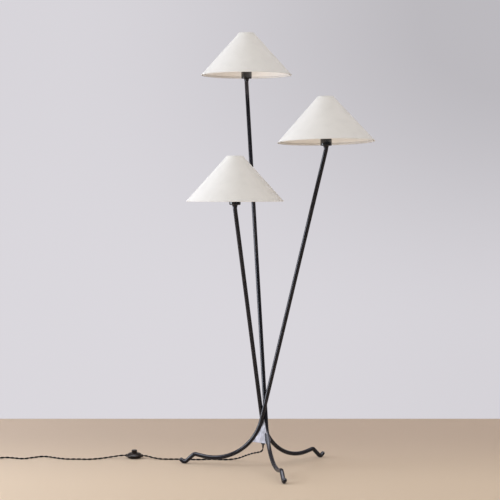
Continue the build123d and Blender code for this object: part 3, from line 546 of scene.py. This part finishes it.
def coil_turns():
    """The put-away half turns: in along the lower layer, a climb, and out along the upper one."""
    lower = [COIL_RADIUS - COIL_STEP * k for k in range(6)]
    upper = [lower[-1] + COIL_STEP * k for k in range(7)]
    lower[-1] -= COIL_PINCH
    upper[0] -= COIL_PINCH
    radii = lower + upper
    heights = [COIL_LOW] * len(lower) + [COIL_LOW + COIL_LAYER] * len(upper)
    points, corners = [], 8
    for k, (first, last) in enumerate(zip(radii, radii[1:])):
        side = 1 if k % 2 == 0 else -1
        radius, middle = (first + last) / 2, side * (first - last) / 2
        reach = radius / cos(pi / 2 / corners)
        for j in range(corners):
            share = (j + 0.5) / corners
            along = middle + side * reach * cos(pi * share)
            across = side * reach * sin(pi * share)
            height = heights[k] + (heights[k + 1] - heights[k]) * share
            points.append((COIL[0] - across, COIL[1] + along, height))
    return points


def route(points):
    """Control points in metres in the lamp's own frame."""
    return [HUB + Vector(p) * MM for p in points]


# ---------------------------------------------------------------- stage, metres
STAGE = 40                                        # side of the floor and of the wall
WALL_BACK = 1.073                                 # of the wall, behind the lamp's middle
WALL_RISE = 19.99                                 # height of its middle; its foot is sunk in the floor
WINDOW = (-3.3, -0.55, 1.12)                      # the light that comes from the left
WINDOW_AIM = (0, -0.1, 1.2)                       # what it is turned to
VIEWPOINT = (-0.049, -5.5, 1.0339)                # from the hub
VIEW_DOWN = 2.332                                 # degrees below level
FOCAL, PICTURE = 1488.8, 500                      # focal length and the picture's side, in pixels


# ---------------------------------------------------------------- sizes and colours
class LampSizes(bpy.types.PropertyGroup):
    """Sizes that a user would change."""

    rim: FloatProperty(name="Shade rim", description="Diameter of each shade's lower edge",
                       default=0.356, unit="LENGTH")
    mouth: FloatProperty(name="Shade mouth", description="Diameter of each shade's upper edge",
                         default=0.058, unit="LENGTH")
    height: FloatProperty(name="Shade height", description="Height of each shade",
                          default=0.165, unit="LENGTH")
    wall: FloatProperty(name="Card", description="Thickness of the shade card",
                        default=0.0012, unit="LENGTH")
    tape: FloatProperty(name="Tape", description="Width of the tape on the upper edge",
                        default=0.008, unit="LENGTH")
    tape_thickness: FloatProperty(name="Tape thickness", description="Thickness of the tape", default=0.0005,
                                  unit="LENGTH")
    rim_tape: FloatProperty(name="Rim tape", description="Width of the tape on the lower edge", default=0.005,
                            unit="LENGTH")
    hem: FloatProperty(name="Hem", description="Diameter of the roll round the hem's wire", default=0.0044,
                       unit="LENGTH")
    hem_at: FloatVectorProperty(name="Hem place", description="Radius and height of the hem's wire", size=2,
                                default=(0.17112, 0.00235), unit="LENGTH")
    lap: FloatProperty(name="Lap", description="Overlap of the card at the back",
                       default=0.012, unit="LENGTH")
    steps: IntProperty(name="Steps", description="Faces round a shade", default=144, min=24)
    bead: FloatProperty(name="Weld bead", description="Width of a weld bead", default=0.0042, unit="LENGTH")
    ripple: FloatProperty(name="Ripple", description="Distance between a bead's ripples", default=0.0017,
                          unit="LENGTH")
    spring_wire: FloatProperty(name="Spring wire", description="Diameter of the foot switch's spring wire",
                               default=0.001, unit="LENGTH")
    spring_turns: IntProperty(name="Spring turns", description="Turns of the foot switch's spring",
                              default=4, min=2)
    cord: FloatProperty(name="Cord", description="Diameter over both strands", default=0.0065, unit="LENGTH")
    twist: FloatProperty(name="Twist", description="Length of one full twist", default=0.042, unit="LENGTH")


class LampColours(bpy.types.PropertyGroup):
    """Colours that a user would change."""

    stem: FloatVectorProperty(name="Stems", description="Lacquer of the stems", subtype="COLOR",
                              default=(0.0065, 0.0065, 0.0085))
    cup: FloatVectorProperty(name="Cups", description="Enamel of the socket cups", subtype="COLOR",
                             default=(0.006, 0.006, 0.007))
    hub_plate: FloatVectorProperty(name="Hub", description="Hammered plates of the hub", subtype="COLOR",
                                   default=(0.42, 0.415, 0.467))
    shade: FloatVectorProperty(name="Shades", description="Outside of the shades", subtype="COLOR",
                               default=(0.875, 0.868, 0.855))
    lining: FloatVectorProperty(name="Linings", description="Inside of the shades", subtype="COLOR",
                                default=(0.95, 0.945, 0.93))
    switch: FloatVectorProperty(name="Switch", description="Moulding of the foot switch", subtype="COLOR",
                                default=(0.012, 0.0065, 0.0045))
    floor: FloatVectorProperty(name="Floor", description="Floor of the stage", subtype="COLOR",
                               default=(0.72, 0.59, 0.471))
    wall: FloatVectorProperty(name="Wall", description="Wall of the stage", subtype="COLOR",
                              default=(0.705, 0.685, 0.725))


# ---------------------------------------------------------------- pieces
class LAMP_OT_finishes(bpy.types.Operator):
    """Makes the materials and gives the metal, glass and moulded pieces theirs"""

    bl_idname = "floor_lamp.finishes"
    bl_label = "Finishes"

    def execute(self, context):
        make_finishes(context.scene.lamp_colours)
        for part in frame["record"]["subparts"]:
            paint(NODES[part["node"]], part["material_slot"])
        return {"FINISHED"}


class LAMP_OT_shades(bpy.types.Operator):
    """Models the card shades with their tapes, the hem rolled round its wire and the lap at the back"""

    bl_idname = "floor_lamp.shades"
    bl_label = "Shades"

    def slope(self, sizes):
        """How far a shade's side runs in for each metre up."""
        return (sizes.rim - sizes.mouth) / 2 / sizes.height

    def outline(self, sizes):
        """Half section of a shade, once round the card: rim tape, outside, top tape, lining and hem."""
        foot, top = Vector((sizes.rim / 2, 0)), Vector((sizes.mouth / 2, sizes.height))
        up = (top - foot).normalized()
        out = Vector((up.y, -up.x))
        slant, tape, thick = (top - foot).length, sizes.tape, sizes.tape_thickness
        wall, edge = sizes.wall, sizes.rim_tape

        def at(climb, proud):
            """A point by its distance up the slope and how proud it stands of the card's outside."""
            return foot + up * climb + out * proud

        rim_tape = [
            at(0.15 * thick, -0.9 * wall), at(0.1 * thick, 0), at(0.9 * thick, 0.7 * thick),
            at(edge - 0.3 * thick, 0.7 * thick),
        ]
        outside = [at(edge + (slant - tape - edge) * k / 8, 0) for k in range(9)]
        top_tape = [
            at(slant - tape + 0.2 * thick, thick), at(slant - thick, thick),
            at(slant - 0.2 * thick, 0.6 * thick), at(slant, 0), at(slant, -wall),
            at(slant - 0.2 * thick, -wall - 0.6 * thick), at(slant - thick, -wall - thick),
            at(slant - tape + 0.2 * thick, -wall - thick),
        ]
        lining = [at(slant - tape, -wall).lerp(at(2.6 * sizes.hem, -wall), k / 8) for k in range(9)]
        turns = [radians(62) + radians(208) * k / 12 for k in range(13)]
        hem = [Vector(sizes.hem_at) + sizes.hem / 2 * Vector((cos(turn), sin(turn))) for turn in turns]
        return [(p.x, p.y) for p in rim_tape + outside + top_tape + lining + hem]

    def lap(self, shade, sizes):
        """The card's overlap up the back: one edge stands proud, the other runs out."""
        half, slope = sizes.lap / 2, self.slope(sizes)
        proud, run_out, off_card = 0.4 * MM, 0.92, 0.25 * MM
        for edge in (-half, half):
            choose(shade, "faces", lambda face: face.calc_center_median().y > 0)
            bpy.ops.mesh.bisect(plane_co=(edge, 0, 0), plane_no=(1, 0, 0))

        def on_lap(face):
            place = face.calc_center_median()
            surface = sizes.rim / 2 - place.z * slope
            return (
                place.y > 0 and abs(place.x) < half and abs(place.xy.length - surface) < off_card
                and sizes.rim_tape < place.z < sizes.height - 0.8 * sizes.tape
            )

        choose(shade, "faces", on_lap)
        out = Vector((0, 1, slope)).normalized()
        bpy.ops.mesh.extrude_region_move(TRANSFORM_OT_translate={"value": out * proud})
        mesh = bmesh.from_edit_mesh(shade.data)
        chosen = {v.index for v in mesh.verts if v.select and v.co.x > half - 0.01 * MM}
        choose(shade, "verts", lambda vert: vert.index in chosen)
        bpy.ops.transform.translate(value=-out * run_out * proud)

    def finish_at(self, place, sizes):
        """Which of a shade's finishes a point has: 0 the card, 1 the lining, 2 a tape or the hem."""
        slope = self.slope(sizes)
        steep = sqrt(1 + slope**2)
        if place.z > sizes.height - sizes.tape / steep:
            return 2
        if place.xy.length > sizes.rim / 2 - place.z * slope - sizes.wall / 2 * steep:
            return 2 if place.z < sizes.rim_tape / steep else 0
        return 2 if place.z < 1.4 * sizes.hem else 1

    def execute(self, context):
        sizes = context.scene.lamp_sizes
        outline = self.outline(sizes)
        for name in LIGHTS:
            shade = spun(f"card_shade_{name}", outline, sizes.steps)
            self.lap(shade, sizes)
            bpy.ops.object.mode_set(mode="OBJECT")
            paint(shade, "shade_paper", "shade_lining", "shade_tape")
            for face in shade.data.polygons:
                face.material_index = self.finish_at(face.center, sizes)
            place_mesh(shade, light_place(name))
            smooth(shade, 40)
            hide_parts(f"shade_{name}")
            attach(shade, "lamp")
        return {"FINISHED"}


class LAMP_OT_welds(bpy.types.Operator):
    """Lays the weld beads where the hub's plates meet the stems"""

    bl_idname = "floor_lamp.welds"
    bl_label = "Welds"

    def seam(self, plate, stem):
        """Points up the groove between a plate's outside and a stem, none where they don't meet."""
        flush, reach = 0.2 * MM, 0.4 * MM     # a seam's corners lie this near the plate's outside and the stem
        inward, outward = 0.4 * MM, 0.3 * MM  # from the plate's outside in to the stem, and from it back out
        tube = BVHTree.FromPolygons([v.co for v in stem.vertices], [p.vertices for p in stem.polygons])
        side = max(plate.polygons, key=lambda face: face.area)
        out = side.normal if side.normal.dot(side.center - HUB) > 0 else -side.normal
        proud = max(v.co.dot(out) for v in plate.vertices)
        edge = [v.co.copy() for v in plate.vertices
                if proud - v.co.dot(out) < flush and tube.find_nearest(v.co)[3] < reach]
        groove, last = [], None
        for place in sorted(edge, key=lambda place: place.z):
            if last is None or place.z - last.z > 0.5 * (place - last).xy.length + 0.2 * MM:
                last = place
                groove.append(tube.find_nearest(place - inward * out)[0] + outward * out)
        return groove

    def execute(self, context):
        sizes = context.scene.lamp_sizes
        clear_selection()
        bpy.ops.mesh.primitive_ico_sphere_add(subdivisions=1, radius=MM, location=(0, 0, 0))
        beads = start("weld_beads")
        bpy.ops.mesh.select_all(action="SELECT")
        bpy.ops.mesh.delete(type="VERT")
        hand = Random(7)
        for plate in PLATES:
            for light in LIGHTS:
                groove = self.seam(NODES[f"hub_plate_{plate}"].data, NODES[f"stem_{light}"].data)
                travelled = 0.0
                for low, high in zip(groove, groove[1:]):
                    run = (high - low).length
                    while travelled < run:
                        size = sizes.bead / 2 * hand.uniform(0.9, 1.12)
                        bpy.ops.mesh.primitive_ico_sphere_add(
                            subdivisions=2, radius=size, location=low.lerp(high, travelled / run)
                        )
                        travelled += sizes.ripple * hand.uniform(0.85, 1.15)
                    travelled -= run
        bpy.ops.object.mode_set(mode="OBJECT")
        for kind, settings in (("REMESH", {"mode": "VOXEL", "voxel_size": 0.42 * MM}),
                               ("SMOOTH", {"factor": 0.5, "iterations": 2})):
            modifier = beads.modifiers.new(kind.lower(), kind)
            for key, value in settings.items():
                setattr(modifier, key, value)
            bpy.ops.object.modifier_apply(modifier=modifier.name)
        paint(smooth(beads, 180), "stem_black")
        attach(beads, "lamp")
        return {"FINISHED"}


class LAMP_OT_spring(bpy.types.Operator):
    """Winds the foot switch's return spring, which stands under the button"""

    bl_idname = "floor_lamp.spring"
    bl_label = "Spring"

    def execute(self, context):
        low, high = (Vector(corner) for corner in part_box("switch_spring"))
        wire, turns = context.scene.lamp_sizes.spring_wire, context.scene.lamp_sizes.spring_turns
        radius = (high.x - low.x - wire) / 2
        clear_selection()
        bpy.ops.mesh.primitive_circle_add(vertices=10, radius=wire / 2, location=(0, 0, 0))
        spring = start("return_spring")
        bpy.ops.mesh.select_all(action="SELECT")
        bpy.ops.transform.rotate(value=radians(90), orient_axis="X", center_override=(0, 0, 0))
        bpy.ops.transform.translate(value=(radius, 0, 0))
        bpy.ops.object.mode_set(mode="OBJECT")
        winding = spring.modifiers.new("winding", "SCREW")
        winding.iterations, winding.steps, winding.render_steps = turns, 28, 28
        winding.screw_offset = (high.z - low.z - wire) / turns
        bpy.ops.object.modifier_apply(modifier="winding")
        bpy.ops.object.mode_set(mode="EDIT")
        bpy.ops.mesh.select_all(action="SELECT")
        bpy.ops.mesh.fill_holes(sides=0)
        bpy.ops.mesh.select_all(action="SELECT")
        bpy.ops.mesh.normals_make_consistent(inside=False)
        foot = Vector(((low.x + high.x) / 2, (low.y + high.y) / 2, low.z + wire / 2))
        place_mesh(spring, Matrix.Translation(foot))
        paint(smooth(spring, 50), "spring_steel")
        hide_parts("switch_spring")
        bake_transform(spring)
        return {"FINISHED"}


class LAMP_OT_cords(bpy.types.Operator):
    """Lays the twisted cord: from the hub to the foot switch, and on to the coil and the plug"""

    bl_idname = "floor_lamp.cords"
    bl_label = "Cords"

    def execute(self, context):
        sizes = context.scene.lamp_sizes
        line = spline_line("switch_route", route(TO_SWITCH))
        cord = paint(twisted_cord("cord_from_hub", line, sizes.cord, sizes.twist), "cord_cloth")
        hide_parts("cord_to_switch", "cord_tail")
        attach(cord, "lamp")
        switch = [f"switch_{part}" for part in ("base", "cover", "button", "contacts", "screws")]
        switch.append(bpy.data.objects["return_spring"])
        points = route(TO_COIL + coil_turns() + TO_PLUG)
        line = spline_line("plug_route", points)
        cord = paint(twisted_cord("cord_to_wall", line, sizes.cord, sizes.twist), "cord_cloth")
        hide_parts("cord_to_coil", "cord_coil", "cord_to_plug")
        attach(cord, "lamp")
        return {"FINISHED"}


class LAMP_OT_stage(bpy.types.Operator):
    """Adds the pale floor and wall, the lights and the camera"""

    bl_idname = "floor_lamp.stage"
    bl_label = "Stage"

    def dimmed(self, finish, colour):
        """A stage colour painted darker where reflections see it: painted shade in reflections, as in a studio
        with flags.
        """
        glossy = Value(finish, finish.node("ShaderNodeLightPath").outputs["Is Glossy Ray"])
        return finish.between(colour, (0.1, 0.09, 0.09), glossy * 0.6)

    def floor_finish(self, colour):
        """A matt floor with painted light and shade: palest in front and darkest at the back on the left."""
        finish = Finish("stage_floor", colour, 0.6, specular_ior_level=0.04)
        # painted light and shade: the floor's colour grows darker towards the back and lighter in front,
        # standing in for the window's fall of light
        near, right = finish.axis("Y").above(0.7, -0.55), finish.axis("X").above(-0.9, 0.7)
        shaded_left_far, shaded_right_far, front = (
            tuple(share * c for share, c in zip(shares, colour))
            for shares in ((0.83, 0.82, 0.82), (0.87, 0.855, 0.855), (1.10, 1.10, 1.06))
        )
        far = finish.between(shaded_left_far, shaded_right_far, right)
        finish.colour(self.dimmed(finish, finish.between(far, front, near)))
        return finish

    def wall_finish(self, colour):
        """A matt wall; for the camera it glows in its own colour as if evenly lit, with painted shade high up
        on the right, and it is not seen from behind.
        """
        finish = Finish("stage_wall", colour, 0.95, specular_ior_level=0.1)
        finish.colour(self.dimmed(finish, colour))
        # painted shade: the wall's colour darkens high up on the right, and the camera sees it as a glow
        right = finish.axis("X").above(-1.0, 1.1)
        high = finish.axis("Y").above(0.39 - WALL_RISE, 1.79 - WALL_RISE)
        shadow = right * high * 0.85 + right * right * 0.18 + high * 0.1
        shaded_wall = finish.between(colour, tinted(colour, 0.715), shadow)
        glow = finish.node("ShaderNodeEmission", None, {"Color": shaded_wall, "Strength": 1.0})
        path = finish.node("ShaderNodeLightPath")
        side = finish.node("ShaderNodeNewGeometry")
        lit = finish.mixed(path.outputs["Is Camera Ray"], finish.shader, glow)
        clear = finish.node("ShaderNodeBsdfTransparent")
        whole = finish.mixed(side.outputs["Backfacing"], lit, clear)
        finish.fill(finish.tree.nodes["Material Output"], {"Surface": whole.outputs[0]})
        return finish

    def sheet(self, name, place, turn, finish):
        """A wide plane of the stage."""
        bpy.ops.mesh.primitive_plane_add(size=STAGE, location=place, rotation=turn)
        sheet = bpy.context.object
        sheet.name = name
        sheet.data.materials.append(finish.material)
        return sheet

    def add_world(self, scene):
        """A soft room to light by; reflections see a dim one with a bright ceiling."""
        scene.world = bpy.data.worlds.new("room")
        scene.world.use_nodes = True
        nodes, links = scene.world.node_tree.nodes, scene.world.node_tree.links

        def shining(node, colour, strength):
            node.inputs["Color"].default_value = (*colour, 1)
            node.inputs["Strength"].default_value = strength
            return node

        def mixed(factor, first, second):
            mix = nodes.new("ShaderNodeMixShader")
            for source, socket in zip((factor, first.outputs[0], second.outputs[0]), mix.inputs):
                links.new(source, socket)
            return mix

        room = shining(nodes["Background"], (1.0, 0.975, 0.94), 0.80)
        dim_room = shining(nodes.new("ShaderNodeBackground"), (0.9, 0.93, 1.0), 0.10)
        ceiling = shining(nodes.new("ShaderNodeBackground"), (0.9, 0.92, 1.0), 4.5)
        towards = nodes.new("ShaderNodeSeparateXYZ")
        links.new(nodes.new("ShaderNodeTexCoord").outputs["Generated"], towards.inputs[0])
        overhead = nodes.new("ShaderNodeMapRange")
        overhead.interpolation_type = "SMOOTHSTEP"
        overhead.inputs["From Min"].default_value = 0.62
        overhead.inputs["From Max"].default_value = 0.8
        links.new(towards.outputs["Z"], overhead.inputs["Value"])
        reflected = mixed(overhead.outputs["Result"], dim_room, ceiling)
        glossy = nodes.new("ShaderNodeLightPath").outputs["Is Glossy Ray"]
        whole = mixed(glossy, room, reflected)
        links.new(whole.outputs[0], nodes["World Output"].inputs["Surface"])

    def area_light(self, name, place, turn, size, power, colour):
        """An area light by its width and height in metres and its power in watts."""
        bpy.ops.object.light_add(type="AREA", location=place, rotation=turn)
        light = bpy.context.object
        light.name = name
        light.data.shape = "RECTANGLE"
        light.data.size, light.data.size_y = size
        light.data.energy, light.data.color = power, colour
        return light

    def add_camera(self, scene):
        """The photograph's viewpoint."""
        camera = bpy.data.cameras.new("camera")
        camera.sensor_width = 36
        camera.lens = FOCAL * camera.sensor_width / PICTURE
        camera.clip_end = 200
        viewer = bpy.data.objects.new("camera", camera)
        scene.collection.objects.link(viewer)
        viewer.location = HUB + Vector(VIEWPOINT)
        viewer.rotation_euler = (radians(90 - VIEW_DOWN), 0, 0)
        scene.camera = viewer

    def execute(self, context):
        scene, colours = context.scene, context.scene.lamp_colours
        clear_selection()
        floor = self.sheet("floor", (0, 0, 0), (0, 0, 0), self.floor_finish(tuple(colours.floor)))
        wall = self.sheet("wall", (0, WALL_BACK, WALL_RISE), (radians(90), 0, 0),
                          self.wall_finish(tuple(colours.wall)))
        self.add_world(scene)
        window, lit = Vector(WINDOW), Vector(WINDOW_AIM)
        turn = (lit - window).to_track_quat("-Z", "Y").to_euler()
        self.area_light("window", window, turn, (1.4, 1.95), 66, (0.84, 0.91, 1.0))
        bounce = self.area_light("bounce", (0, 0, 0.004), (pi, 0, 0), (4.5, 4.5), 15, (1.0, 0.97, 0.93))
        bounce.visible_camera = False
        bounce.visible_glossy = False
        self.add_camera(scene)
        scene.view_settings.view_transform = "Standard"
        return {"FINISHED"}


class LAMP_PT_pieces(bpy.types.Panel):
    """Lists the pieces, their sizes and their colours"""

    bl_idname = "LAMP_PT_pieces"
    bl_label = "Tree Floor Lamp"
    bl_space_type = "VIEW_3D"
    bl_region_type = "UI"
    bl_category = "Floor Lamp"

    def draw(self, context):
        for group in (context.scene.lamp_sizes, context.scene.lamp_colours):
            for name in group.__annotations__:
                self.layout.prop(group, name)
        for operator in OPERATORS:
            self.layout.operator(operator.bl_idname)


OPERATORS = (
    LAMP_OT_finishes, LAMP_OT_shades, LAMP_OT_welds, LAMP_OT_spring, LAMP_OT_cords, LAMP_OT_stage,
)
CLASSES = (LampSizes, LampColours, *OPERATORS, LAMP_PT_pieces)


def register():
    for each in CLASSES:
        bpy.utils.register_class(each)
    bpy.types.Scene.lamp_sizes = PointerProperty(type=LampSizes)
    bpy.types.Scene.lamp_colours = PointerProperty(type=LampColours)


def unregister():
    del bpy.types.Scene.lamp_colours, bpy.types.Scene.lamp_sizes
    for each in reversed(CLASSES):
        bpy.utils.unregister_class(each)


def main():
    register()
    for operator in (
        bpy.ops.floor_lamp.finishes, bpy.ops.floor_lamp.shades, bpy.ops.floor_lamp.welds,
        bpy.ops.floor_lamp.spring, bpy.ops.floor_lamp.cords, bpy.ops.floor_lamp.stage,
    ):
        operator()


if __name__ == "__main__":
    main()
